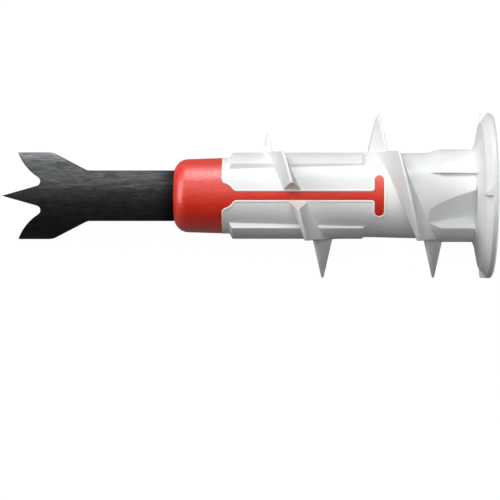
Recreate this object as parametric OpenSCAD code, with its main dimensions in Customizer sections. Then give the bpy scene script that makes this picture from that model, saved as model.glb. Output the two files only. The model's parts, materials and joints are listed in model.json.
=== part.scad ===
// Self-drilling plasterboard anchor: a three-point steel drill blade held in a red tip holder,
// moulded into a white nylon body with a coarse interrupted right-hand thread and a round flange.
// Every size is in millimetres. The parts are drawn round an upright axis: height 0 is the
// flange's outer face, the blade's point is on top, +X is the blade's bowed front and +Y runs
// along its width. The whole anchor is then laid down as it comes to rest on a flat surface.

/* [Body] */
// Length of the moulded body, from the flange's outer face to the tip holder
body_length = 24.1; // [23:0.1:27]
// Radius of the body where it meets the tip holder
body_tip_radius = 3.4; // [3.3:0.05:3.6]
// Taper of the body on each side, in degrees
body_taper = 1.43; // [0.8:0.01:1.6]
// Radius of the two raised pads along the body
pad_radius = 3.88; // [3.84:0.02:4]
// Half width of a raised pad, measured towards the blade's front
pad_half_width = 2.6; // [2.2:0.1:2.8]
// Slant of a raised pad's walls away from the blade's plane, in degrees
pad_wall_slant = 15; // [0:1:20]
// Distance from the flange's outer face to the near end of the raised pads
pad_start = 11.4; // [10.8:0.1:12.4]
// Bare length of body between the raised pads and the tip holder
pad_setback = 0.6; // [0.5:0.1:1.2]
// Length of the chamfer at the ends of the raised pads
pad_chamfer = 0.25; // [0.1:0.05:0.5]
// Diameter of the screw bore
bore_diameter = 3.4; // [3:0.1:3.8]

/* [Collar] */
// Distance from the flange's outer face to where the collar pads have risen to full height
collar_length = 4.7; // [4.2:0.1:5.2]
// Length of the ramp that leads up to the collar pads
collar_ramp = 1.0; // [0.6:0.1:1.4]
// Radius of the collar pads
collar_radius = 4.16; // [4.1:0.02:4.4]
// Half width of a collar pad on its narrow side
collar_narrow_side = 3.0; // [2.6:0.05:3.2]
// Distance from the blade's middle line to the wall on a collar pad's wide side
collar_wide_wall = 2.0; // [1.8:0.1:2.4]
// Distance from the blade's middle line to the wall on its narrow side
collar_narrow_wall = 2.4; // [2.2:0.1:2.6]
// Direction that the hollow beside a collar pad faces, in degrees round from the front
hollow_angle = 30; // [25:1:35]
// Distance from the axis to the floor of the hollow at the flange
hollow_near = 2.95; // [2.9:0.05:3.4]
// Distance from the axis to the floor of the hollow where it runs out
hollow_far = 3.77; // [3.6:0.01:3.8]

/* [Flange] */
// Diameter of the flange
flange_diameter = 14.8; // [14.8:0.1:16]
// Thickness of the flange at its rim
rim_thickness = 0.5; // [0.4:0.05:0.8]
// Width of the sloped ring under the rim
rim_slope_width = 0.8; // [0.5:0.05:1]
// Height of the sloped ring under the rim
rim_slope_height = 0.55; // [0.4:0.05:0.7]
// Rise of the flange's underside from the sloped ring to its root
flange_crown = 0.35; // [0.2:0.05:0.6]
// Radius at which the flange's underside turns steeply into the collar
flange_root_radius = 4.85; // [4.6:0.05:5.2]
// Rise of the steep cone between the root and the collar
flange_root_rise = 0.3; // [0.15:0.05:0.5]
// Bevel round the rim's outer edge
rim_bevel = 0.15; // [0.05:0.05:0.3]
// Number of locking ramps under the rim
ramp_count = 4; // [2:1:6]
// Height of a locking ramp above the rim's edge
ramp_height = 0.5; // [0.2:0.05:0.5]
// Radius at which a locking ramp runs out into the flange's underside
ramp_inner_radius = 5.9; // [5.4:0.1:6.4]
// Length of a locking ramp round the flange, in degrees
ramp_angle = 7; // [5:1:14]

/* [Driver recess] */
// Width across the arms of the cross recess at its mouth
recess_span = 5.8; // [5.2:0.1:6]
// Width across the arms of the cross recess at its floor
recess_floor_span = 4.6; // [4:0.1:5]
// Width of one arm of the cross recess
recess_arm = 1.3; // [1:0.05:1.5]
// Depth of the cross recess
recess_depth = 6.5; // [5:0.5:8]
// Turn of the cross recess round the axis, in degrees
recess_turn = 15; // [5:5:25]

/* [Thread] */
// Diameter over the broad thread flights at the front and back
flight_diameter = 14.4; // [13.8:0.1:14.6]
// Diameter over the pointed wings at the sides
wing_diameter = 14.72; // [14:0.02:14.78]
// Diameter over the first, smaller wing
first_wing_diameter = 11.4; // [10.6:0.1:12.4]
// Distance from the tip holder to the middle of the first wing
first_wing_setback = 4.0; // [4:0.1:4.8]
// Rise of the right-hand thread in one turn
thread_pitch = 9.93; // [9.6:0.01:10.1]
// Width of the thread's crest
crest_width = 0.2; // [0.16:0.02:0.4]
// Slope of each thread flank away from square, in degrees
flank_angle = 12.2; // [9:0.1:13]
// Angle over which a wing falls away on each side, in degrees
wing_spread = 28; // [24:1:30]
// Angle over which the first, smaller wing falls away on each side, in degrees
first_wing_spread = 14; // [10:1:24]
// Height of the flights' flat sides above the raised pads
flight_rise = 0.04; // [0.02:0.01:0.1]
// Half width of the gap in the flights over each red strip, at the body
gap_half_width = 0.58; // [0.5:0.02:0.7]
// Draft of the gap's end faces, in degrees
gap_draft = 10.5; // [4:0.5:12]

/* [Tip holder] */
// Length of the cap that holds the blade
cap_length = 4.4; // [4:0.05:5]
// Radius of the cap behind its rounded corner
cap_radius = 3.3; // [3.2:0.02:3.4]
// Radius of the cap's rounded corner
cap_corner = 1.3; // [0.6:0.05:1.4]
// Width of a strip in the body's surface
strip_width = 0.84; // [0.6:0.02:0.9]
// Radius of the round shoulder where a strip grows out of the cap
shoulder_radius = 1.15; // [1:0.05:1.4]
// Fillet at both feet of the round shoulder
shoulder_fillet = 0.45; // [0.2:0.05:0.6]
// Radius down to which the strips are let into the body
strip_floor_radius = 2.6; // [2.3:0.05:2.8]
// Distance from the flange's outer face to the near side of the crossbar
crossbar_start = 9.74; // [9.3:0.02:9.9]
// Width of the crossbar that locks a strip in the body
crossbar_width = 0.88; // [0.7:0.02:0.9]
// Length of the crossbar
crossbar_length = 3.66; // [3:0.02:3.8]
// Fillet between a strip and its crossbar
crossbar_fillet = 0.25; // [0.1:0.05:0.35]

/* [Drill blade] */
// Length of blade that stands out of the cap
blade_reach = 15.5; // [15:0.05:17]
// Width over the two outer spurs
blade_width = 7.85; // [7.2:0.05:8.2]
// Width of the shank
shank_width = 4.56; // [4.2:0.02:4.8]
// Thickness of the sheet steel
blade_thickness = 1.0; // [0.8:0.05:1.2]
// Radius to which the blade is bowed
bow_radius = 8; // [7:0.5:14]
// Distance of the spurs' points behind the centre point
spur_setback = 1.35; // [1.2:0.05:1.8]
// Length of the straight outer edges
side_length = 3.05; // [2.4:0.05:3.4]
// Slope of the shoulders, in degrees from the axis
shoulder_slope = 27; // [24:0.1:32]
// Radius that rounds the shoulders at both ends
shoulder_round = 1.2; // [0.6:0.1:1.6]
// Radius of the rounded gullets beside the centre point
gullet_radius = 0.42; // [0.35:0.01:0.5]
// Distance of a gullet's centre from the axis
gullet_offset = 1.3; // [1.2:0.02:1.4]
// Distance of a gullet's centre behind the centre point
gullet_setback = 3.04; // [2.9:0.02:3.3]
// Radius of the curved cutting edge of a spur
spur_edge_radius = 5; // [4:0.5:8]
// Length of blade hidden in the cap
root_length = 2.9; // [2.4:0.1:3.2]
// Radius of the two notches that lock the root in the cap
notch_radius = 0.5; // [0.3:0.05:0.6]

/* [Hidden] */
$fn = 64;
margin = 1;
arc_steps = 10;
ring_step = 4;

cap_front = body_length + cap_length;
blade_tip = cap_front + blade_reach;
flange_radius = flange_diameter / 2;
flight_radius = flight_diameter / 2;
wing_radius = wing_diameter / 2;
collar_start = collar_length + collar_ramp;
slope_top = rim_thickness + rim_slope_height;
root_depth = slope_top + flange_crown;
flange_depth = root_depth + flange_root_rise;
flat_height = pad_radius + flight_rise;

// Height at which the thread's middle passes a given angle, counted round from the front
function thread_height(angle) =
    body_length - first_wing_setback + (angle - 90) * thread_pitch / 360;

// Radius of the bare body at a given height above the flange's outer face
function core_radius(height) =
    body_tip_radius + (body_length - max(height, collar_start)) * tan(body_taper);

// Points along an arc, as [x, y] pairs
function arc(centre, radius, from, to) =
    [for (i = [0 : arc_steps]) let (a = from + (to - from) * i / arc_steps)
        centre + radius * [cos(a), sin(a)]];

// Angles of the thread: it starts just past the rear strip, is full at the second wing,
// passes three full wings and runs out behind the last of them
start_angle = 196;
full_angle = -78;
last_wing_angle = -450;
end_angle = -556;
first_wing_angle = 90;
start_radius = 3.3;
root_radius = 3.0;
least_ridge = 0.1;
wing_steps = 8;
wing_overrun = 4;
wing_sink = 0.3;

// Growth of the thread from nothing at its start to its full height, and back at its end
first_wing_share = (first_wing_diameter / 2 - start_radius) / (wing_radius - start_radius);
growth_power = ln(first_wing_share)
    / ln((start_angle - first_wing_angle) / (start_angle - full_angle));
function growth(angle) =
    angle > full_angle ? pow(max(0, (start_angle - angle) / (start_angle - full_angle)), growth_power)
    : angle < last_wing_angle ? max(0, (angle - end_angle) / (last_wing_angle - end_angle))
    : 1;
function flight_crest(angle) =
    max(root_radius + least_ridge, start_radius + growth(angle) * (flight_radius - start_radius));

// Rest: the anchor lies on the ends of the rear flight beside its gap and on both spurs
gap_at_crest = gap_half_width
    + (flight_radius - core_radius(thread_height(-180))) * tan(gap_draft);
crest_turn = asin(gap_at_crest / flight_radius);
crest_drop = flight_radius * cos(crest_turn);
crest_contact = thread_height(-180 + crest_turn) + crest_width / 2;
spur_half = blade_width / 2;
spur_height = blade_tip - spur_setback;
inner_bow = bow_radius - blade_thickness;
shank_sag = inner_bow - sqrt(pow(inner_bow, 2) - pow(shank_width / 2, 2));
blade_front = (blade_thickness + shank_sag) / 2;
bow_centre = blade_front - bow_radius;
spur_drop = -(bow_centre + sqrt(pow(inner_bow, 2) - pow(spur_half, 2)));
rest_tilt = atan((crest_drop - spur_drop) / (spur_height - crest_contact));
low_end = (flange_radius - rim_bevel) * sin(rest_tilt);
high_end = blade_tip * cos(rest_tilt) + blade_front * sin(rest_tilt);
place_x = (high_end - low_end) / 2;
place_z = crest_drop * cos(rest_tilt) + crest_contact * sin(rest_tilt);

module laid_down() {
    translate([place_x, 0, place_z]) rotate([0, -90 - rest_tilt, 0]) children();
}

// Stands a flat outline, drawn as [width, height], up in the blade's plane
module stood_up(thickness) {
    rotate([90, 0, 90]) linear_extrude(thickness, center = true) children();
}

// Drill blade
gullet_centre = [gullet_offset, blade_tip - gullet_setback];
spur_point = [spur_half, spur_height];
gullet_reach = norm([gullet_offset, gullet_setback]);
tooth_angle = atan(gullet_offset / gullet_setback) - asin(gullet_radius / gullet_reach);
to_gullet = gullet_centre - spur_point;
gullet_gap = norm(to_gullet);
spur_along = (pow(spur_edge_radius, 2) - pow(spur_edge_radius + gullet_radius, 2)
    + pow(gullet_gap, 2)) / (2 * gullet_gap);
spur_across = sqrt(pow(spur_edge_radius, 2) - pow(spur_along, 2));
spur_dir = to_gullet / gullet_gap;
spur_centre = spur_point + spur_along * spur_dir + spur_across * [-spur_dir[1], spur_dir[0]];
spur_to_gullet = gullet_centre - spur_centre;
spur_arc_from = atan2(spur_to_gullet[1], spur_to_gullet[0]);
spur_arc_to = atan2(spur_point[1] - spur_centre[1], spur_point[0] - spur_centre[0]);
round_tangent = shoulder_round * tan(shoulder_slope / 2);
shoulder_high = spur_height - side_length;
shoulder_low = shoulder_high - (blade_width - shank_width) / 2 / tan(shoulder_slope);
root_end = cap_front - root_length;
notch_height = cap_front - root_length / 2;

blade_side = concat(
    [[0, blade_tip]],
    arc(gullet_centre, gullet_radius, 180 + tooth_angle, 180 + spur_arc_from),
    arc(spur_centre, spur_edge_radius, spur_arc_from, spur_arc_to),
    arc([spur_half - shoulder_round, shoulder_high + round_tangent], shoulder_round,
        0, -shoulder_slope),
    arc([shank_width / 2 + shoulder_round, shoulder_low - round_tangent], shoulder_round,
        180 - shoulder_slope, 180),
    [[shank_width / 2, root_end]]
);

module blade_outline() {
    last = len(blade_side) - 1;
    other_side = [for (i = [last : -1 : 1]) [-blade_side[i][0], blade_side[i][1]]];
    difference() {
        polygon(concat(blade_side, other_side));
        for (side = [-1, 1]) translate([side * shank_width / 2, notch_height]) circle(notch_radius);
    }
}

module blade_solid() {
    intersection() {
        stood_up(3 * blade_thickness) blade_outline();
        translate([bow_centre, 0, root_end - margin]) difference() {
            cylinder(r = bow_radius, h = blade_tip - root_end + 2 * margin);
            translate([0, 0, -margin]) cylinder(r = inner_bow, h = blade_tip - root_end + 4 * margin);
        }
    }
}

module drill_blade() {
    color([0.13, 0.14, 0.15]) laid_down() blade_solid();
}

// Tip holder: the cap, with a strip down the front and the back that each end in a crossbar
strip_overlap = 0.5;
embed_depth = 0.4;
strip_top = body_length + strip_overlap;
crossbar_end = crossbar_start + crossbar_width;
embed_radius = body_tip_radius - embed_depth;

module concave_fillet(radius) {
    difference() {
        translate([-margin / 4, -margin / 4]) square(radius + margin / 4);
        translate([radius, radius]) circle(radius);
    }
}

// Fills the hollow between the shoulder's circle and a line that lies at the given offset from
// its centre; height is how far the fillet's own centre is from the shoulder's
module shoulder_foot(across, height) {
    difference() {
        polygon([[0, 0], [across, 0], [across, height], [0, height]]);
        translate([across, height]) circle(shoulder_fillet);
    }
}

module strip_outline() {
    translate([-strip_width / 2, crossbar_start]) square([strip_width, strip_top - crossbar_start]);
    translate([-crossbar_length / 2 + crossbar_width / 2, crossbar_start])
        square([crossbar_length - crossbar_width, crossbar_width]);
    for (side = [0, 1]) mirror([side, 0]) {
        translate([(crossbar_length - crossbar_width) / 2, crossbar_start + crossbar_width / 2])
            circle(crossbar_width / 2);
        translate([strip_width / 2, crossbar_end]) concave_fillet(crossbar_fillet);
    }
    translate([0, body_length]) {
        foot_reach = shoulder_radius + shoulder_fillet;
        strip_across = strip_width / 2 + shoulder_fillet;
        strip_drop = sqrt(pow(foot_reach, 2) - pow(strip_across, 2));
        cap_across = sqrt(pow(foot_reach, 2) - pow(shoulder_fillet, 2));
        circle(shoulder_radius);
        for (side = [0, 1]) mirror([side, 0]) mirror([0, 1]) {
            shoulder_foot(strip_across, strip_drop);
            shoulder_foot(cap_across, shoulder_fillet);
        }
    }
}

module cap_profile() {
    polygon([
        [0, body_length],
        [body_tip_radius, body_length],
        [cap_radius, cap_front - cap_corner],
        [cap_radius - cap_corner, cap_front],
        [0, cap_front]
    ]);
    translate([cap_radius - cap_corner, cap_front - cap_corner]) circle(cap_corner);
}

module strips() {
    intersection() {
        stood_up(4 * body_tip_radius) strip_outline();
        rotate_extrude() polygon([
            [strip_floor_radius, crossbar_start - margin],
            [core_radius(crossbar_start - margin), crossbar_start - margin],
            [body_tip_radius, body_length],
            [embed_radius, body_length],
            [embed_radius, strip_top],
            [strip_floor_radius, strip_top]
        ]);
    }
}

module tip_holder() {
    color([0.78, 0.2, 0.13]) laid_down() difference() {
        union() {
            rotate_extrude() cap_profile();
            strips();
        }
        blade_solid();
    }
}

// Anchor body: core, pads, collar and flange, with the thread wound round them
module core_profile() {
    polygon([
        [0, 0],
        [flange_radius - rim_bevel, 0],
        [flange_radius, rim_bevel],
        [flange_radius, rim_thickness],
        [flange_radius - rim_slope_width, slope_top],
        [flange_root_radius, root_depth],
        [core_radius(0), flange_depth],
        [core_radius(collar_start), collar_start],
        [body_tip_radius, body_length],
        [0, body_length]
    ]);
}

pad_end = body_length - pad_setback;
pad_corner = sqrt(pow(pad_radius, 2) - pow(pad_half_width, 2));
pad_inner_half = pad_half_width - pad_corner * tan(pad_wall_slant);
pad_outer_half = pad_half_width + (pad_radius - pad_corner) * tan(pad_wall_slant);

module pads() {
    intersection() {
        rotate_extrude() polygon([
            [0, pad_start],
            [core_radius(pad_start), pad_start],
            [pad_radius, pad_start + pad_chamfer],
            [pad_radius, pad_end - pad_chamfer],
            [core_radius(pad_end), pad_end],
            [0, pad_end]
        ]);
        linear_extrude(body_length) for (turn = [0, 180]) rotate(turn) polygon([
            [-pad_inner_half, 0], [pad_inner_half, 0],
            [pad_outer_half, pad_radius], [-pad_outer_half, pad_radius]
        ]);
    }
}

module collar_pads() {
    intersection() {
        rotate_extrude() polygon([
            [0, rim_thickness],
            [flange_root_radius, rim_thickness],
            [flange_root_radius, root_depth],
            [collar_radius, flange_depth],
            [collar_radius, collar_length],
            [core_radius(collar_start), collar_start],
            [0, collar_start]
        ]);
        for (turn = [0, 180]) rotate([0, 0, turn]) translate([-collar_narrow_side, collar_wide_wall, 0])
            cube([collar_narrow_side + collar_radius, collar_radius, collar_start]);
    }
}

// Hollows beside the narrow sides of the collar pads, deeper towards the flange
module collar_hollows() {
    intersection() {
        for (turn = [0, 180]) rotate([0, 0, turn]) translate([0, -collar_narrow_wall, 0])
            cube([2 * collar_radius, 2 * collar_radius, collar_start]);
        translate([0, 0, slope_top]) cylinder(r = collar_radius, h = collar_start - slope_top);
        for (turn = [0, 180]) rotate([90, 0, turn - hollow_angle])
            linear_extrude(2 * collar_radius, center = true) polygon([
                [hollow_near, slope_top],
                [collar_radius + margin, slope_top],
                [collar_radius + margin, collar_start],
                [hollow_far, collar_start]
            ]);
    }
}

// A ridge that winds round the axis; its crest follows the radii in crests, one for each angle
module ridge(angles, crests) {
    count = len(angles);
    half = crest_width / 2;
    points = [for (i = [0 : count - 1]) let (
            a = angles[i], top = crests[i], z = thread_height(a),
            foot = half + (top - root_radius) * tan(flank_angle))
        each [for (p = [[root_radius, -foot], [top, -half], [top, half], [root_radius, foot]])
            [p[0] * cos(a), p[0] * sin(a), z + p[1]]]];
    sides = [for (i = [0 : count - 2], k = [0 : 3]) let (
            p = 4 * i + k, q = 4 * i + (k + 1) % 4)
        each [[p, q, q + 4], [p, q + 4, p + 4]]];
    last = 4 * (count - 1);
    polyhedron(points, concat(
        [[0, 3, 2], [0, 2, 1]], sides, [[last, last + 1, last + 2], [last, last + 2, last + 3]]));
}

module flights() {
    angles = [for (a = [end_angle : ring_step : start_angle]) a];
    intersection() {
        ridge(angles, [for (a = angles) flight_crest(a)]);
        translate([-flange_radius, -flat_height, 0])
            cube([2 * flange_radius, 2 * flat_height, body_length + margin]);
    }
}

module wing(middle, tip_radius, spread) {
    shelf = flat_height / cos(spread);
    drop = (tip_radius - shelf) / spread;
    low = (tip_radius - root_radius - wing_sink) / drop;
    reach = min(low, spread + wing_overrun);
    angles = [for (i = [-wing_steps : wing_steps]) middle + reach * i / wing_steps];
    ridge(angles, [for (a = angles) tip_radius - drop * abs(a - middle)]);
}

module gaps() {
    deep = core_radius(body_length) - margin / 2;
    far = flange_radius + margin;
    far_half = gap_half_width + (far - body_tip_radius) * tan(gap_draft);
    near_half = gap_half_width - (body_tip_radius - deep) * tan(gap_draft);
    translate([0, 0, crossbar_start])
        linear_extrude(body_length - crossbar_start + margin)
            for (side = [0, 1]) mirror([side, 0])
                polygon([[deep, -near_half], [far, -far_half], [far, far_half], [deep, near_half]]);
}

module thread() {
    difference() {
        union() {
            flights();
            wing(first_wing_angle, first_wing_diameter / 2, first_wing_spread);
            for (turn = [1 : 3]) wing(first_wing_angle - 180 * turn, wing_radius, wing_spread);
        }
        gaps();
    }
}

// Saw teeth that fill the sloped ring up to a low step and fade out behind it
module locking_ramps() {
    tooth_length = flange_radius * sin(ramp_angle);
    tooth_foot = rim_thickness / 2;
    crown_slope = flange_crown / (flange_radius - rim_slope_width - flange_root_radius);
    inner_top = root_depth - crown_slope * (ramp_inner_radius - flange_root_radius);
    for (i = [0 : ramp_count - 1]) rotate([0, 0, 360 * i / ramp_count])
        intersection() {
            rotate_extrude() polygon([
                [ramp_inner_radius, tooth_foot],
                [flange_radius, tooth_foot],
                [flange_radius, rim_thickness + ramp_height],
                [ramp_inner_radius, inner_top]
            ]);
            rotate([90, 0, 90]) linear_extrude(flange_radius + margin) polygon([
                [0, 0],
                [tooth_length, 0],
                [tooth_length, rim_thickness],
                [0, root_depth]
            ]);
        }
}

module driver_recess() {
    flare = (recess_span - recess_floor_span) * margin / recess_depth;
    for (turn = [0, 90]) rotate([90, 0, turn + recess_turn])
        linear_extrude(recess_arm, center = true) polygon([
            [-(recess_span + flare) / 2, -margin],
            [(recess_span + flare) / 2, -margin],
            [recess_floor_span / 2, recess_depth],
            [-recess_floor_span / 2, recess_depth]
        ]);
}

module strip_pocket() {
    intersection() {
        stood_up(4 * body_tip_radius) strip_outline();
        difference() {
            cylinder(r = 2 * body_tip_radius, h = body_length + margin);
            cylinder(r = strip_floor_radius, h = body_length + 2 * margin);
        }
    }
}

module anchor_body() {
    color([0.93, 0.93, 0.92]) laid_down() difference() {
        union() {
            difference() {
                union() {
                    rotate_extrude() core_profile();
                    collar_pads();
                }
                collar_hollows();
            }
            pads();
            locking_ramps();
            thread();
        }
        translate([0, 0, -margin]) cylinder(d = bore_diameter, h = body_length + 2 * margin);
        driver_recess();
        strip_pocket();
    }
}

drill_blade();
tip_holder();
anchor_body();
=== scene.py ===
# %% [markdown]
# Self-drilling plasterboard anchor
#
# This lesson dresses a small fixing that is screwed straight into plasterboard. It has three
# pieces: a black drill blade stamped from sheet steel, a red tip holder that grips it, and a
# white nylon body with a coarse broken thread and a round flange. The solids come from the
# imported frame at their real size, about 45 mm long, so this file looks after what the eye
# sees: the camera, the light, the floor, the weld seam and the finish of each material.

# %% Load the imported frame
import json
import math

import bmesh
import bpy
import numpy as np
from mathutils import Matrix


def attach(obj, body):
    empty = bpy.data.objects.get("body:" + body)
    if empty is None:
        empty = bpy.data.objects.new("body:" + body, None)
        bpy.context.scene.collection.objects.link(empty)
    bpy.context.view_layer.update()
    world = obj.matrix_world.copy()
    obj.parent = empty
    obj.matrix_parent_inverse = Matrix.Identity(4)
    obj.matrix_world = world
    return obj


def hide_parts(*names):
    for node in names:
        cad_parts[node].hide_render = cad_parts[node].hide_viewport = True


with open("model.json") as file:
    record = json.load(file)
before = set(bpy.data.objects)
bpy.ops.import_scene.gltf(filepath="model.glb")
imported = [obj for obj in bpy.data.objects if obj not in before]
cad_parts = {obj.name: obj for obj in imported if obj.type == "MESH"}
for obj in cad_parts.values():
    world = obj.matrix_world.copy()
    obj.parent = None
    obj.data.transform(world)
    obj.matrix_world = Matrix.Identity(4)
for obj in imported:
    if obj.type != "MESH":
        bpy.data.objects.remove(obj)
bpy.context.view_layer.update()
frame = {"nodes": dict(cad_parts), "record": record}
scene = bpy.context.scene
MM = 0.001
print("nodes:", sorted(frame["nodes"]))

# %% [markdown]
# The anchor's own directions
#
# The anchor lies nose down on the floor, so its axis is tilted. Almost everything on it is
# easier to place along that axis than along the world's X, Y and Z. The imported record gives
# the middle of the flange's outer face and the direction that the face looks in, and from
# those two a point can be named by three plain numbers: how far it is from the flange along
# the axis (height), how far across the blade (width) and how far out of its front (front).

# %% Directions along, across and out of the front
mounts = {mount["name"]: mount for mount in frame["record"]["mounts"]}
flange_centre = np.array(mounts["fixture_face"]["pos_m"]) * [1, 0, 1]
towards_flange = np.array(mounts["fixture_face"]["axis"])
towards_flange /= np.linalg.norm(towards_flange)
across_blade = np.array([0.0, 1.0, 0.0])
out_of_front = np.cross(towards_flange, across_blade)
axis_tilt = math.atan2(towards_flange[2], towards_flange[0])


def on_anchor(height, width, front):
    """Point of the frame, in metres, from three lengths in mm: flange_centre less height along
    the axis, plus width across the blade, plus front out of the blade's bowed side."""
    height, width, front = np.broadcast_arrays(height, width, front)
    offset = (np.multiply.outer(width, across_blade) + np.multiply.outer(front, out_of_front)
              - np.multiply.outer(height, towards_flange))
    return flange_centre + offset * MM


def turned_to(right, up, back, place):
    """Matrix that puts an object at a place with its X, Y and Z along three unit directions."""
    columns = np.column_stack([right, up, back, place])
    return Matrix([*columns.tolist(), [0.0, 0.0, 0.0, 1.0]])


print("axis tilt in degrees:", round(math.degrees(axis_tilt), 2))
print("front direction:", out_of_front.round(3))

# %% [markdown]
# The weld seam
#
# The red part and the white part are moulded one after the other in the same tool. Where they
# meet, the second shot leaves a hair-thin raised lip that catches the light as a pale line
# all round the red. It could be painted by a mask, but then it would vanish from the mesh.
# Here it is a real bead: its path is the outline of the red strips, wrapped onto the cone of
# the body, and a small flat profile is carried along it. Its colour is paler and warmer than the
# nylon. That colour is a painted highlight which keeps the line pale on its shaded side.

# %% Outline of a strip, drawn flat
body_length = 24.1
body_tip_radius = 3.4
body_taper = math.radians(1.43)
strip_half = 0.42
crossbar_start = 9.74
crossbar_width = 0.88
crossbar_length = 3.66
crossbar_fillet = 0.25
shoulder_radius = 1.15
shoulder_fillet = 0.45
arc_count = 24


def body_radius(height):
    """Radius of the tapered body: the radius at its tip plus the taper times the distance."""
    return body_tip_radius + (body_length - height) * math.tan(body_taper)


def arc(centre, radius, start, end):
    """Points on a circle from one angle to another, in degrees, as rows of width and height."""
    angle = np.radians(np.linspace(start, end, arc_count))
    return np.column_stack([centre[0] + radius * np.cos(angle),
                            centre[1] + radius * np.sin(angle)])


def half_outline():
    """One side of a strip from the holder's edge to the middle of the crossbar. It is a chain of
    arcs, each tangent to the next: holder fillet, round shoulder, strip fillet, crossbar end."""
    reach = shoulder_radius + shoulder_fillet
    holder_x = math.sqrt(reach ** 2 - shoulder_fillet ** 2)
    strip_drop = math.sqrt(reach ** 2 - (strip_half + shoulder_fillet) ** 2)
    holder_turn = math.degrees(math.asin(shoulder_fillet / reach))
    strip_turn = math.degrees(math.acos((strip_half + shoulder_fillet) / reach))
    end_radius = crossbar_width / 2
    end_x = crossbar_length / 2 - end_radius
    top = crossbar_start + crossbar_width
    return np.vstack([
        arc((holder_x, body_length - shoulder_fillet), shoulder_fillet, 90, 180 - holder_turn),
        arc((0, body_length), shoulder_radius, -holder_turn, -strip_turn),
        arc((strip_half + shoulder_fillet, body_length - strip_drop), shoulder_fillet,
            180 - strip_turn, 180),
        arc((strip_half + crossbar_fillet, top + crossbar_fillet), crossbar_fillet, 180, 270),
        arc((end_x, crossbar_start + end_radius), end_radius, 90, -90),
        [[0, crossbar_start]],
    ])


side = half_outline()
strip_path = np.vstack([side, side[-2::-1] * [-1, 1]])
strip_length = body_length - crossbar_start
print("strip outline:", len(strip_path), "points,", round(strip_length, 2), "mm long")

# %% [markdown]
# Wrapping the outline round the body
#
# The strip at the front and the one at the back are joined by the edge of the holder, so the
# whole seam is one closed line. Each point is turned into an angle round the body and a
# height along it. Then the line is sampled again at even steps, because a profile carried
# along a path with uneven steps gives long and short faces side by side.

# %% One closed line for the seam
seam_step = 0.06
least_step = 1e-6
ring_count = 60
strip_height = strip_path[:, 1]
front_angle = np.arcsin(strip_path[:, 0] / body_radius(strip_height))
ring_angle = np.linspace(front_angle[-1], -math.pi - front_angle[-1], ring_count)[1:-1]
angles = np.concatenate([front_angle, ring_angle, front_angle - math.pi, ring_angle - math.pi])
ring_height = np.full(len(ring_angle), body_length)
heights = np.concatenate([strip_height, ring_height, strip_height, ring_height])


def even_steps(angle, height, step):
    """The same closed line at equal distances: points on top of each other are dropped, the
    length run so far is worked out for each point, and angle and height are read off it at
    multiples of the step."""
    angle = np.append(angle, angle[0] - 2 * math.pi)
    height = np.append(height, height[0])
    run = np.hypot(np.diff(angle) * body_tip_radius, np.diff(height))
    keep = np.append(True, run > least_step)
    angle, height = angle[keep], height[keep]
    along = np.append(0, np.cumsum(np.hypot(np.diff(angle) * body_tip_radius, np.diff(height))))
    sample = np.linspace(0, along[-1], int(along[-1] / step), endpoint=False)
    return np.interp(sample, along, angle), np.interp(sample, along, height), along[-1]


seam_angle, seam_height, seam_length = even_steps(angles, heights, seam_step)
print("seam:", len(seam_angle), "points over", round(seam_length, 1), "mm")

# %% [markdown]
# Carrying the profile
#
# A grid has two directions: one along the seam and one round the small profile. At every
# point of the seam the outward direction is the body's radius, and the sideways direction is
# square to it and to the seam. The profile is an ellipse of which the lower half sinks into
# the body, so the lip stands on the surface without a gap. It is moved off the seam's line
# to the white side, where most of the lip lies.

# %% The seam's lip as a grid
lip_width = 0.20
lip_shift = 0.07
lip_rise = 0.03
profile_count = 10


def new_piece(name, points, faces, material):
    """A mesh piece at the origin, made from rows of points and rows of corner numbers."""
    mesh = bpy.data.meshes.new(name)
    mesh.from_pydata(points.tolist(), [], faces.tolist())
    mesh.polygons.foreach_set("use_smooth", np.ones(len(faces), bool))
    mesh.materials.append(material)
    mesh.update()
    piece = bpy.data.objects.new(name, mesh)
    scene.collection.objects.link(piece)
    return piece


def seam_grid():
    """Points of the lip: radius and sideways shift follow an ellipse of half width lip_width / 2
    and height lip_rise, moved by lip_shift to the white side and carried along the seam; rows
    run along it and columns round it."""
    radius = body_radius(seam_height)
    centre = on_anchor(seam_height, radius * np.sin(seam_angle), radius * np.cos(seam_angle))
    outward = (np.multiply.outer(np.sin(seam_angle), across_blade)
               + np.multiply.outer(np.cos(seam_angle), out_of_front))
    along = np.roll(centre, -1, axis=0) - np.roll(centre, 1, axis=0)
    sideways = np.cross(along, outward)
    sideways /= np.linalg.norm(sideways, axis=1)[:, None]
    turn = np.linspace(0, 2 * math.pi, profile_count, endpoint=False)
    rise = lip_rise * np.sin(turn) * MM
    shift = (lip_width / 2 * np.cos(turn) - lip_shift) * MM
    return (centre[:, None] + outward[:, None] * rise[None, :, None]
            + sideways[:, None] * shift[None, :, None])


def wrapped_faces(rows, columns):
    """Corner numbers of the quads of a grid that closes on itself in both directions."""
    row, column = np.meshgrid(np.arange(rows), np.arange(columns), indexing="ij")
    next_row, next_column = (row + 1) % rows, (column + 1) % columns
    corners = [(row, column), (row, next_column), (next_row, next_column), (next_row, column)]
    return np.stack([r * columns + c for r, c in corners], axis=-1).reshape(-1, 4)


# %% [markdown]
# Effects that more than one material uses
#
# Moulded plastic and phosphated steel share some ways of ageing and forming: a fine grain,
# soft clouds of tone, and edges that are never quite sharp. Each effect is a node group with
# named inputs, so the white, the red and the black material can use it with values of their
# own. A group only puts out values and normals. The shader stays in the material.

# %% Small helpers for node trees
def add_node(tree, kind, **settings):
    """A node of that kind; a setting is a property of the node or a value for its socket."""
    node = tree.nodes.new(kind)
    for name, value in settings.items():
        if hasattr(node, name):
            setattr(node, name, value)
        else:
            node.inputs[name.replace("_", " ")].default_value = value
    return node


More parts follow.
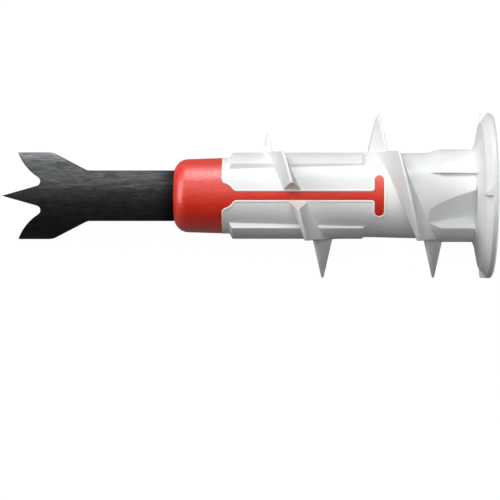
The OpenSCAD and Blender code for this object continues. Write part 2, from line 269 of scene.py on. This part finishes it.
def new_group(name, inputs, outputs):
    """An empty node group with the sockets named in two lists of (name, kind) pairs."""
    group = bpy.data.node_groups.new(name, "ShaderNodeTree")
    for socket, kind in inputs:
        group.interface.new_socket(socket, in_out="INPUT", socket_type="NodeSocket" + kind)
    for socket, kind in outputs:
        group.interface.new_socket(socket, in_out="OUTPUT", socket_type="NodeSocket" + kind)
    return group, group.nodes.new("NodeGroupInput"), group.nodes.new("NodeGroupOutput")


def place_group(tree, group, **values):
    """The group as a node of the tree, with a number for each input that is named."""
    node = add_node(tree, "ShaderNodeGroup", node_tree=group)
    for name, value in values.items():
        node.inputs[name.replace("_", " ")].default_value = value
    return node


# %% [markdown]
# Fine grain
#
# A spark-eroded mould prints a fine, even grain on plastic, and phosphate crystals do much
# the same on steel. Two noises of different size are added, because a single one looks like
# evenly spaced bumps. The input Size is the width of one grain in metres.

# %% Group: fine grain
finer_times = 3.0
finer_share = 0.5


def make_fine_grain():
    """Height = noise at the grain's size, plus finer_share of a noise that is finer_times as
    fine."""
    group, entry, out = new_group("fine_grain", [("Vector", "Vector"), ("Size", "Float")],
                                  [("Height", "Float")])
    links = group.links
    density = add_node(group, "ShaderNodeMath", operation="DIVIDE")
    density.inputs[0].default_value = 1.0
    links.new(entry.outputs["Size"], density.inputs[1])
    coarse = add_node(group, "ShaderNodeTexNoise", Detail=2.0, Roughness=0.5)
    finer = add_node(group, "ShaderNodeMath", operation="MULTIPLY")
    finer.inputs[1].default_value = finer_times
    fine = add_node(group, "ShaderNodeTexNoise", Detail=1.0, Roughness=0.5)
    blend = add_node(group, "ShaderNodeMath", operation="MULTIPLY_ADD")
    blend.inputs[1].default_value = finer_share
    links.new(entry.outputs["Vector"], coarse.inputs["Vector"])
    links.new(entry.outputs["Vector"], fine.inputs["Vector"])
    links.new(density.outputs[0], coarse.inputs["Scale"])
    links.new(density.outputs[0], finer.inputs[0])
    links.new(finer.outputs[0], fine.inputs["Scale"])
    links.new(fine.outputs["Fac"], blend.inputs[0])
    links.new(coarse.outputs["Fac"], blend.inputs[2])
    links.new(blend.outputs[0], out.inputs["Height"])
    return group


fine_grain = make_fine_grain()

# %% [markdown]
# Clouds and streaks
#
# Melted plastic flows along the mould and steel is rolled along the strip, so tone changes
# slowly along the part and faster across it. Both are one noise, stretched along the anchor's
# axis. The stretch comes from a Mapping node in the material, so here the group only shapes
# the noise: Low and High are the values that become 0 and 1.

# %% Group: soft clouds
def make_clouds():
    """Mask = noise at the given scale, spread from the range between Low and High to 0..1."""
    group, entry, out = new_group(
        "soft_clouds",
        [("Vector", "Vector"), ("Scale", "Float"), ("Low", "Float"), ("High", "Float")],
        [("Mask", "Float")])
    noise = add_node(group, "ShaderNodeTexNoise", Detail=4.0, Roughness=0.6)
    spread = add_node(group, "ShaderNodeMapRange", clamp=True)
    links = group.links
    links.new(entry.outputs["Vector"], noise.inputs["Vector"])
    links.new(entry.outputs["Scale"], noise.inputs["Scale"])
    links.new(noise.outputs["Fac"], spread.inputs["Value"])
    links.new(entry.outputs["Low"], spread.inputs["From Min"])
    links.new(entry.outputs["High"], spread.inputs["From Max"])
    links.new(spread.outputs["Result"], out.inputs["Mask"])
    return group


soft_clouds = make_clouds()

# %% [markdown]
# Rounded edges
#
# No moulded or stamped edge is perfectly sharp. A Bevel modifier on thousands of triangles
# would tear the thin flights, so the rounding is done while shading: the Bevel node bends the
# normal within a small radius of an edge. Where the bent normal and the true one disagree
# there is an edge, and that makes a mask as well.

# %% Group: soft edges
fully_bent = 0.8


def make_soft_edges():
    """Normal = the normal bent within Radius of an edge. Edge = how far it is bent: the dot
    product with the true normal, spread from 1 down to fully_bent over 0..1."""
    group, entry, out = new_group("soft_edges", [("Radius", "Float")],
                                  [("Normal", "Vector"), ("Edge", "Float")])
    bevel = add_node(group, "ShaderNodeBevel", samples=8)
    geometry = add_node(group, "ShaderNodeNewGeometry")
    dot = add_node(group, "ShaderNodeVectorMath", operation="DOT_PRODUCT")
    spread = add_node(group, "ShaderNodeMapRange", clamp=True)
    spread.inputs["From Min"].default_value = 1.0
    spread.inputs["From Max"].default_value = fully_bent
    links = group.links
    links.new(entry.outputs["Radius"], bevel.inputs["Radius"])
    links.new(bevel.outputs["Normal"], dot.inputs[0])
    links.new(geometry.outputs["Normal"], dot.inputs[1])
    links.new(dot.outputs["Value"], spread.inputs["Value"])
    links.new(bevel.outputs["Normal"], out.inputs["Normal"])
    links.new(spread.outputs["Result"], out.inputs["Edge"])
    return group


soft_edges = make_soft_edges()
print("effect groups:", [group.name for group in bpy.data.node_groups])

# %% [markdown]
# A start for every material
#
# Each material reads Object coordinates, turned so that the first one runs along the axis and
# divided by a stretch, all in one Mapping node of type Texture. A pattern that should look
# long and thin gets a long first stretch.

# %% Material start
def new_material(name, **constants):
    """A material with a Principled shader; the constants are set straight on its sockets."""
    material = bpy.data.materials.new(name)
    material.use_nodes = True
    tree = material.node_tree
    shader = tree.nodes["Principled BSDF"]
    for socket, value in constants.items():
        shader.inputs[socket.replace("_", " ")].default_value = value
    return material, tree, shader


def along_axis(tree, stretch=(1.0, 1.0, 1.0)):
    """Object coordinates with their origin in the flange's face and the first one along the
    axis, each divided by its stretch."""
    coordinates = add_node(tree, "ShaderNodeTexCoord")
    mapping = add_node(tree, "ShaderNodeMapping", vector_type="TEXTURE", Location=flange_centre,
                       Rotation=(0.0, -axis_tilt, 0.0), Scale=stretch)
    tree.links.new(coordinates.outputs["Object"], mapping.inputs["Vector"])
    return mapping.outputs["Vector"]


def tone_mix(tree, mask, dark, light):
    """Colour between two tones by a mask."""
    mix = add_node(tree, "ShaderNodeMix", data_type="RGBA")
    mix.inputs["A"].default_value = (*dark, 1.0)
    mix.inputs["B"].default_value = (*light, 1.0)
    tree.links.new(mask, mix.inputs["Factor"])
    return mix.outputs["Result"]


def value_mix(tree, mask, low, high):
    """Number between two values by a mask."""
    mix = add_node(tree, "ShaderNodeMapRange")
    mix.inputs["To Min"].default_value = low
    mix.inputs["To Max"].default_value = high
    tree.links.new(mask, mix.inputs["Value"])
    return mix.outputs["Result"]


def grained_normal(tree, height, depth, normal=None):
    """Normal with a bump: height times depth in metres, on top of another normal if there is
    one."""
    bump = add_node(tree, "ShaderNodeBump", Strength=1.0, Distance=depth)
    tree.links.new(height, bump.inputs["Height"])
    if normal is not None:
        tree.links.new(normal, bump.inputs["Normal"])
    return bump.outputs["Normal"]


# %% [markdown]
# White nylon
#
# Natural nylon is a milky white, satin, and lets a little light in, which softens the shade
# on thin flights. A pure white would look like paper, so the base stays under 0.9 and leans
# slightly cool. Faint clouds change the tone and the gloss a little, as flow marks do.

# %% Material: white nylon
nylon_flow = (12 * MM, 3 * MM, 3 * MM)
nylon_shade = (0.83, 0.84, 0.84)
nylon_light = (0.88, 0.885, 0.88)
nylon_roughness = (0.36, 0.46)
nylon_grain = 0.08 * MM
nylon_grain_depth = 0.002 * MM
nylon_edge = 0.12 * MM


def make_white_nylon():
    """Principled satin white with a little scattering, cloudy tone and a very fine grain."""
    material, tree, shader = new_material(
        "satin_nylon", Subsurface_Weight=0.15, Subsurface_Scale=0.3 * MM, IOR=1.35)
    shader.inputs["Subsurface Radius"].default_value = (1.0, 0.9, 0.8)
    clouds = place_group(tree, soft_clouds, Scale=1.0, Low=0.3, High=0.7)
    tree.links.new(along_axis(tree, nylon_flow), clouds.inputs["Vector"])
    mask = clouds.outputs["Mask"]
    tree.links.new(tone_mix(tree, mask, nylon_shade, nylon_light), shader.inputs["Base Color"])
    tree.links.new(value_mix(tree, mask, *nylon_roughness), shader.inputs["Roughness"])
    grain = place_group(tree, fine_grain, Size=nylon_grain)
    tree.links.new(along_axis(tree), grain.inputs["Vector"])
    edges = place_group(tree, soft_edges, Radius=nylon_edge)
    normal = grained_normal(tree, grain.outputs["Height"], nylon_grain_depth,
                            edges.outputs["Normal"])
    tree.links.new(normal, shader.inputs["Normal"])
    return material


white_nylon = make_white_nylon()
print("material:", white_nylon.name)

# %% Material: nylon of the seam's lip, with a painted highlight
# Painted highlight: paler and warmer than the nylon, so the line stays pale where it is shaded.
lip_highlight_tone = (0.97, 0.91, 0.85, 1.0)


def make_seam_highlight_nylon():
    """The lip's nylon with a painted highlight: paler than the nylon, and warmer for the red
    light through the thin nylon.
    """
    material, _, shader = new_material("seam_highlight_nylon", Roughness=0.45, IOR=1.45)
    shader.inputs["Base Color"].default_value = lip_highlight_tone
    return material


seam_highlight_nylon = make_seam_highlight_nylon()
print("material:", seam_highlight_nylon.name)

# %% [markdown]
# Red polyamide
#
# The holder is a warm signal red. Its mould was left rougher than the white one's, so the
# highlight along its top breaks up into a fine sparkle. That comes from a deeper grain, not
# from a pattern in the colour. Red light travels further inside the plastic than green and
# blue, so some of it comes out again on the shaded side.

# %% Material: red polyamide
red_flow = (2 * MM, 1 * MM, 1 * MM)
red_shade = (0.72, 0.030, 0.009)
red_light = (0.79, 0.035, 0.011)
red_roughness = (0.34, 0.42)
red_grain = 0.2 * MM
red_grain_depth = 0.024 * MM
red_edge = 0.06 * MM


def make_red_polyamide():
    """Principled warm red with a grained surface and slightly uneven tone."""
    material, tree, shader = new_material(
        "grained_polyamide", Subsurface_Weight=0.4, Subsurface_Scale=1.2 * MM, IOR=1.6)
    shader.inputs["Subsurface Radius"].default_value = (1.0, 0.10, 0.06)
    clouds = place_group(tree, soft_clouds, Scale=1.0, Low=0.3, High=0.7)
    tree.links.new(along_axis(tree, red_flow), clouds.inputs["Vector"])
    mask = clouds.outputs["Mask"]
    tree.links.new(tone_mix(tree, mask, red_shade, red_light), shader.inputs["Base Color"])
    tree.links.new(value_mix(tree, mask, *red_roughness), shader.inputs["Roughness"])
    grain = place_group(tree, fine_grain, Size=red_grain)
    tree.links.new(along_axis(tree), grain.inputs["Vector"])
    edges = place_group(tree, soft_edges, Radius=red_edge)
    normal = grained_normal(tree, grain.outputs["Height"], red_grain_depth,
                            edges.outputs["Normal"])
    tree.links.new(normal, shader.inputs["Normal"])
    return material


red_polyamide = make_red_polyamide()
print("material:", red_polyamide.name)

# %% [markdown]
# Black blade steel
#
# The blade is hardened sheet steel with a black phosphate skin. Rolling and tumbling leave
# fine streaks along it and lighter, rubbed patches on top. The streaks are a noise stretched
# over twenty times along the axis, used for tone and gloss, and the bump is a fine grain that
# is drawn out along the axis too. The colour is darker along the stamped edges, and in the last
# bit before the holder a painted shade darkens it where the holder's shadow falls.

# %% Material: black blade steel
cap_length = 4.4
# Reach in mm and depth of the painted shade next to the holder, where the holder's shadow falls.
holder_shade_reach = 1.9
holder_shade_share = 0.8
steel_streaks = (1.6 * MM, 0.06 * MM, 0.06 * MM)
steel_patches = (1.2 * MM, 0.5 * MM, 0.5 * MM)
steel_skin = (0.048, 0.048, 0.047)
steel_rubbed = (0.155, 0.157, 0.154)
# This tone is the colour of the painted shade next to the holder and of the darker edges.
steel_edge_and_shade_tone = (0.004, 0.004, 0.004)
steel_roughness = (0.38, 0.30)
steel_grain = 0.08 * MM
steel_grain_stretch = (8.0, 1.0, 1.0)
steel_grain_depth = 0.009 * MM
steel_edge = 0.09 * MM


def make_blade_steel():
    """Principled metal: its colour is how much it mirrors. Streaks and patches set it. It is
    darker along the edges, and a painted shade takes it away in the last bit before the holder.
    The tint keeps it dark at a slant."""
    material, tree, shader = new_material("phosphated_steel", Metallic=1.0)
    shader.inputs["Specular Tint"].default_value = (0.12, 0.12, 0.12, 1.0)
    streaks = place_group(tree, soft_clouds, Scale=1.0, Low=0.34, High=0.66)
    tree.links.new(along_axis(tree, steel_streaks), streaks.inputs["Vector"])
    patches = place_group(tree, soft_clouds, Scale=1.0, Low=0.30, High=0.66)
    tree.links.new(along_axis(tree, steel_patches), patches.inputs["Vector"])
    rubbed = add_node(tree, "ShaderNodeMath", operation="MULTIPLY")
    tree.links.new(streaks.outputs["Mask"], rubbed.inputs[0])
    tree.links.new(patches.outputs["Mask"], rubbed.inputs[1])
    from_flange = add_node(tree, "ShaderNodeSeparateXYZ")
    tree.links.new(along_axis(tree), from_flange.inputs["Vector"])
    # Painted shade: the colour darkens over the last bit of blade before the holder.
    painted_holder_shade = add_node(tree, "ShaderNodeMapRange", interpolation_type="SMOOTHSTEP")
    cap_front = body_length + cap_length
    painted_holder_shade.inputs["From Min"].default_value = -(cap_front + holder_shade_reach) * MM
    painted_holder_shade.inputs["From Max"].default_value = -cap_front * MM
    painted_holder_shade.inputs["To Max"].default_value = holder_shade_share
    tree.links.new(from_flange.outputs["X"], painted_holder_shade.inputs["Value"])
    edges = place_group(tree, soft_edges, Radius=steel_edge)
    # One mask for the darker edges and the painted shade next to the holder.
    holder_shade_and_dark_edges = add_node(tree, "ShaderNodeMath", operation="MAXIMUM")
    tree.links.new(painted_holder_shade.outputs["Result"], holder_shade_and_dark_edges.inputs[0])
    tree.links.new(edges.outputs["Edge"], holder_shade_and_dark_edges.inputs[1])
    skin = tone_mix(tree, rubbed.outputs[0], steel_skin, steel_rubbed)
    darkened_skin = add_node(tree, "ShaderNodeMix", data_type="RGBA")
    darkened_skin.inputs["B"].default_value = (*steel_edge_and_shade_tone, 1.0)
    tree.links.new(skin, darkened_skin.inputs["A"])
    tree.links.new(holder_shade_and_dark_edges.outputs[0], darkened_skin.inputs["Factor"])
    tree.links.new(darkened_skin.outputs["Result"], shader.inputs["Base Color"])
    tree.links.new(value_mix(tree, rubbed.outputs[0], *steel_roughness),
                   shader.inputs["Roughness"])
    grain = place_group(tree, fine_grain, Size=steel_grain)
    tree.links.new(along_axis(tree, steel_grain_stretch), grain.inputs["Vector"])
    normal = grained_normal(tree, grain.outputs["Height"], steel_grain_depth)
    tree.links.new(normal, shader.inputs["Normal"])
    return material


blade_steel = make_blade_steel()
print("material:", blade_steel.name)

# %% [markdown]
# Dressing the solids
#
# The solids arrive as triangles that share no corners, so a round face would show small flat
# facets, and simple averaging would smear long thin triangles into streaks. But nearly every
# face here is turned round the anchor's axis, and that says what the true normal is: seen from
# the axis, it points the same way at each corner of the face as it does at its middle. So the
# middle's normal is written in three parts, outwards, round and along, and the same three parts
# are used again at the corners. The blade is bowed round a line of its own, behind the axis.
# Flat walls and end faces keep their own normal. The shape stays the same to the last corner;
# only the shading changes.

# %% Directions of the round faces
least_radius = 1e-9


def round_frame(points, centre):
    """Outward and round directions at each point, and its radius: outward is the unit vector
    from the line through the centre along the axis, and round is square to it and the axis."""
    from_axis = points - centre
    from_axis = from_axis - np.outer(from_axis @ towards_flange, towards_flange)
    radius = np.maximum(np.linalg.norm(from_axis, axis=1), least_radius)
    outward = from_axis / radius[:, None]
    return outward, np.cross(towards_flange, outward), radius


# %% Directions of the flat walls
gap_draft = math.radians(10.5)
pad_slant = math.radians(15)
hollow_dip = math.radians(10)
hollow_swing = math.radians(30)


def wall_directions():
    """Normals of the flat walls: the front and the side, each of those slanted by the draft of
    the gap in the flights and by the slant of the raised pads, and the collar's two hollows."""
    flats = [out_of_front, across_blade]
    for slant in (gap_draft, pad_slant):
        for one, other in ((across_blade, out_of_front), (out_of_front, across_blade)):
            for sense in (1, -1):
                flats.append(math.cos(slant) * one + sense * math.sin(slant) * other)
    swung = math.cos(hollow_swing) * out_of_front - math.sin(hollow_swing) * across_blade
    for sense in (1, -1):
        flats.append(math.cos(hollow_dip) * sense * swung + math.sin(hollow_dip) * towards_flange)
    return np.array(flats)


print("directions of flat walls:", len(wall_directions()))

# %% [markdown]
# Normals at the corners
#
# A facet of a cone is turned a little to one side of the true direction, and that small round
# part is dropped. The flank of a flight winds, so its round part is large and is kept, but it
# grows smaller with the radius, as the slope of a spiral stair does. Where corners of several
# faces meet at nearly the same angle they share one normal, which hides the joint between
# them. Where they meet at a real edge they stay apart.

# %% A normal for each corner of a face
facet_turn = 0.06
flat_turn = 0.004
join_angle = math.radians(14)
winding_range = (0.4, 2.5)


def mesh_rows(mesh):
    """Normal and middle of each face, place of each point, and the point and the face that
    each corner belongs to, as arrays."""
    faces, points = mesh.polygons, mesh.vertices
    face_normal, middle = np.empty(len(faces) * 3), np.empty(len(faces) * 3)
    place = np.empty(len(points) * 3)
    faces.foreach_get("normal", face_normal)
    faces.foreach_get("center", middle)
    points.foreach_get("co", place)
    corner = np.empty(len(mesh.loops), int)
    mesh.loops.foreach_get("vertex_index", corner)
    face = np.repeat(np.arange(len(faces)), [polygon.loop_total for polygon in faces])
    return *(rows.reshape(-1, 3) for rows in (face_normal, middle, place)), corner, face


def corner_openings(corner_points):
    """Angle of the triangle at each of its corners, in a column: from the ray to the next
    corner to the ray to the one before."""
    triangles = corner_points.reshape(-1, 3, 3)
    rays = np.roll(triangles, -1, axis=1) - triangles
    rays /= np.linalg.norm(rays, axis=2, keepdims=True)
    cosine = -np.einsum("ijk,ijk->ij", rays, np.roll(rays, 1, axis=1))
    return np.arccos(np.clip(cosine, -1, 1)).reshape(-1, 1)


def corner_normals(mesh, centre, least_outward):
    """A normal for each corner of each face: the face's outward, round and along parts, put
    together again in the directions at the corner. The round part of a winding face is in
    inverse proportion to the radius. A small round part is the leftover of a facet and is
    dropped. A face that looks in a wall's direction is flat, and so is one turned less far
    outward than asked. Corners that meet within the join angle share their mean, each counted
    by how far it opens."""
    face_normal, middle, points, corner, face = mesh_rows(mesh)

    outward, around, middle_radius = round_frame(middle, centre)
    out_part = np.einsum("ij,ij->i", face_normal, outward)
    round_part = np.einsum("ij,ij->i", face_normal, around)
    along_part = face_normal @ towards_flange
    round_part[np.abs(round_part) < facet_turn] = 0.0
    wall = np.abs(face_normal @ wall_directions().T).max(axis=1) > 1 - flat_turn ** 2
    wall |= np.abs(out_part) < least_outward

    outward, around, radius = round_frame(points[corner], centre)
    winding = round_part[face] * np.clip(middle_radius[face] / radius, *winding_range)
    normal = (out_part[face, None] * outward + winding[:, None] * around
              + along_part[face, None] * towards_flange)
    normal[wall[face]] = face_normal[face[wall[face]]]
    normal /= np.linalg.norm(normal, axis=1)[:, None]

    opening = corner_openings(points[corner])
    shared = normal.copy()
    order = np.argsort(corner, kind="stable")
    for group in np.split(order, np.flatnonzero(np.diff(corner[order])) + 1):
        close = normal[group] @ normal[group].T > math.cos(join_angle)
        shared[group] = close.astype(float) @ (opening[group] * normal[group])
    shared /= np.linalg.norm(shared, axis=1)[:, None]
    print("  flat walls:", int(wall.sum()), "of", len(wall), "faces")
    return shared


# %% [markdown]
# Putting the smooth copies in place
#
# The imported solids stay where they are. Each gets a copy in the same place, with its corners
# merged, and the copy is shown instead of it. The blade is a special case: only the faces that
# look almost straight out of its bow are round, and all the others are cut edges.

# %% Smooth copies with true normals
weld_distance = 1e-7
bow_centre = -7.309
flat_below = {"drill_blade": 0.95}
turned_round = {"drill_blade": flange_centre + out_of_front * bow_centre * MM}


def smooth_copy(node_name, material):
    """A piece with the solid's shape, corners merged and true normals set; it takes the solid's
    place in the picture."""
    node = frame["nodes"][node_name]
    shape = bmesh.new()
    shape.from_mesh(node.data)
    shape.transform(node.matrix_world)
    bmesh.ops.remove_doubles(shape, verts=shape.verts, dist=weld_distance)
    mesh = bpy.data.meshes.new(node_name + "_smooth")
    shape.to_mesh(mesh)
    shape.free()
    mesh.materials.clear()
    mesh.materials.append(material)
    print(node_name, "->", material.name, len(mesh.vertices), "corners",
          len(mesh.polygons), "faces")
    normals = corner_normals(mesh, turned_round.get(node_name, flange_centre),
                             flat_below.get(node_name, 0.0))
    mesh.normals_split_custom_set(normals.tolist())
    piece = bpy.data.objects.new(node_name + "_smooth", mesh)
    scene.collection.objects.link(piece)
    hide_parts(node_name)
    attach(piece, "root")
    return piece


finishes = {"anchor_body": white_nylon, "tip_holder": red_polyamide, "drill_blade": blade_steel}
for node_name, material in finishes.items():
    smooth_copy(node_name, material)

# %% Build the seam's lip
seam_points = seam_grid()
seam_lip = new_piece("seam_lip", seam_points.reshape(-1, 3),
                     wrapped_faces(*seam_points.shape[:2]), seam_highlight_nylon)
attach(seam_lip, "root")
print("seam lip:", len(seam_lip.data.polygons), "faces")

# %% [markdown]
# Floor and backdrop
#
# The floor is plain and white and runs up into a wall far behind, so that no horizon shows
# from a low angle. To the camera it is almost as bright as white before any lamp reaches it,
# and the lamps add the rest, so the anchor still leaves a soft shadow. Reflections see the
# same glow much dimmer, or a pale rim would outline the black steel and the red. To the light
# that bounces about it is a dark grey floor, which keeps the undersides of the flights dark.

# %% Floor that runs up into a wall
floor_radius = 1.2
wall_height = 0.5
bend_radius = 0.3
bend_count = 12


def floor_profile(count):
    """Radius and height from the middle outwards: flat, then a quarter circle, then a wall."""
    turn = np.linspace(0, math.pi / 2, count)
    radius = np.concatenate([[0.0, floor_radius / 4], floor_radius + bend_radius * np.sin(turn),
                             [floor_radius + bend_radius]])
    height = np.concatenate([[0.0, 0.0], bend_radius * (1 - np.cos(turn)), [wall_height]])
    return radius, height


def make_floor(material, segments=96):
    """The profile turned round the vertical axis; its first ring has no radius, so the faces of
    the middle run to a point."""
    radius, height = floor_profile(bend_count)
    angle = np.linspace(0, 2 * math.pi, segments, endpoint=False)
    points = np.stack([np.multiply.outer(radius, np.cos(angle)),
                       np.multiply.outer(radius, np.sin(angle)),
                       np.multiply.outer(height, np.ones(segments))], axis=-1)
    rows = len(radius)
    faces = wrapped_faces(rows, segments)[: (rows - 1) * segments, ::-1]
    floor = new_piece("studio_floor", points.reshape(-1, 3), faces, material)
    return floor


# %% Paint and glow of the floor
paint_tone = (0.11, 0.11, 0.11, 1.0)
seen_glow = 0.96
mirrored_share = 0.25


def make_floor_paint():
    """Grey diffuse paint, plus a white glow for camera rays and a dimmer one for glossy and
    transmission rays."""
    material = bpy.data.materials.new("studio_white")
    material.use_nodes = True
    tree = material.node_tree
    tree.nodes.clear()
    paint = add_node(tree, "ShaderNodeBsdfDiffuse", Color=paint_tone)
    path = add_node(tree, "ShaderNodeLightPath")
    mirrored = add_node(tree, "ShaderNodeMath", operation="MAXIMUM")
    dimmer = add_node(tree, "ShaderNodeMath", operation="MULTIPLY")
    dimmer.inputs[1].default_value = mirrored_share
    seen = add_node(tree, "ShaderNodeMath", operation="MAXIMUM")
    glow = add_node(tree, "ShaderNodeMath", operation="MULTIPLY")
    glow.inputs[1].default_value = seen_glow
    light = add_node(tree, "ShaderNodeEmission")
    both = add_node(tree, "ShaderNodeAddShader")
    out = add_node(tree, "ShaderNodeOutputMaterial")
    links = tree.links
    links.new(path.outputs["Is Glossy Ray"], mirrored.inputs[0])
    links.new(path.outputs["Is Transmission Ray"], mirrored.inputs[1])
    links.new(mirrored.outputs[0], dimmer.inputs[0])
    links.new(path.outputs["Is Camera Ray"], seen.inputs[0])
    links.new(dimmer.outputs[0], seen.inputs[1])
    links.new(seen.outputs[0], glow.inputs[0])
    links.new(glow.outputs[0], light.inputs["Strength"])
    links.new(paint.outputs[0], both.inputs[0])
    links.new(light.outputs[0], both.inputs[1])
    links.new(both.outputs[0], out.inputs["Surface"])
    return material


make_floor(make_floor_paint())

# %% [markdown]
# Camera
#
# The product is seen straight onto its front, with its axis level across the picture, so the
# camera stands off along the front direction and image up is the blade's width. The picture
# shows a little perspective: the near side of the flange lies further right than its outline.
# That fixes how far away the camera is, and the lens follows from the scale.

# %% Camera over the front of the anchor
camera_distance = 180.0
camera_height = 18.06
aim_height, aim_width = 21.67, -4.89
picture_span = 45.05
sensor = 36.0

camera = bpy.data.objects.new("camera", bpy.data.cameras.new("camera"))
scene.collection.objects.link(camera)
scene.camera = camera
eye = on_anchor(camera_height, 0.0, camera_distance)
aim = on_anchor(aim_height, aim_width, 0.0)
back = (eye - aim) / np.linalg.norm(eye - aim)
right = np.cross(across_blade, back)
right /= np.linalg.norm(right)
up = np.cross(back, right)
camera.matrix_world = turned_to(right, up, back, eye)
camera.data.sensor_width = sensor
camera.data.lens = sensor * camera_distance / picture_span
camera.data.clip_start = 0.01
print("lens in mm:", round(camera.data.lens, 1))

# %% [markdown]
# Light
#
# The picture shows two kinds of light. The shading is soft and comes from the upper left, while
# the gloss lies much higher round the body, where only something over the top edge of the
# picture can be mirrored. So some boxes are left out of the reflections and serve the shading:
# one over the front, the key above it, and two on the blade's side for the flanks of the
# flights. A small one in line with the axis lights the flange's outer face, which only other
# views show. Three more are seen in reflections alone and serve the gloss. Each power is
# worked out from the brightness wanted on a white surface that faces the lamp: brightness
# times pi squared times the distance squared.

# %% Soft boxes
lamp_distance = 0.30


def soft_box(name, tilt, turn, brightness, width, height, shade=True, sheen=True,
             tint=(1.0, 1.0, 1.0)):
    """Area lamp aimed at the anchor. Tilt is its angle away from the front direction and turn
    the way it leans: 0 towards the flange, 90 towards the top of the picture. Shade and sheen
    say whether it counts for the diffuse light and for the reflections."""
    lean = (math.cos(math.radians(turn)) * towards_flange
            + math.sin(math.radians(turn)) * across_blade)
    towards = math.cos(math.radians(tilt)) * out_of_front + math.sin(math.radians(tilt)) * lean
    lamp = bpy.data.lights.new(name, "AREA")
    lamp.shape = "RECTANGLE"
    lamp.size, lamp.size_y = width, height
    lamp.color = tint
    lamp.energy = brightness * math.pi ** 2 * lamp_distance ** 2
    box = bpy.data.objects.new(name, lamp)
    scene.collection.objects.link(box)
    side_axis = (math.sin(math.radians(turn)) * towards_flange
                 - math.cos(math.radians(turn)) * across_blade)
    top_axis = np.cross(towards, side_axis)
    place = on_anchor(aim_height, 0.0, 0.0) + towards * lamp_distance
    box.matrix_world = turned_to(side_axis, top_axis, towards, place)
    box.visible_camera = False
    box.visible_diffuse = shade
    box.visible_glossy = sheen
    print(name, "power in W:", round(lamp.energy, 3))
    return box


sky_tint = (0.88, 0.92, 1.0)
soft_box("front_box", tilt=4, turn=90, brightness=0.36, width=0.20, height=0.20, sheen=False)
soft_box("key_box", tilt=50, turn=94, brightness=0.44, width=0.20, height=0.12, sheen=False)
soft_box("left_box", tilt=70, turn=138, brightness=0.50, width=0.14, height=0.12, sheen=False)
soft_box("side_box", tilt=62, turn=172, brightness=0.12, width=0.14, height=0.12, sheen=False)
soft_box("face_box", tilt=90, turn=0, brightness=0.50, width=0.05, height=0.05, sheen=False)
soft_box("gloss_box", tilt=25, turn=90, brightness=0.20, width=0.24, height=0.05, shade=False)
soft_box("sheen_box", tilt=71, turn=90, brightness=1.20, width=0.18, height=0.13, shade=False,
         tint=sky_tint)
soft_box("corner_box", tilt=60, turn=160, brightness=1.40, width=0.34, height=0.14, shade=False,
         tint=sky_tint)

# %% Light of the room
room_tint = (0.94, 0.98, 1.0, 1.0)
room_strength = 0.04

world = bpy.data.worlds.new("room")
scene.world = world
world.use_nodes = True
background = world.node_tree.nodes["Background"]
background.inputs["Color"].default_value = room_tint
background.inputs["Strength"].default_value = room_strength
scene.view_settings.view_transform = "Standard"
print("room light:", room_strength)
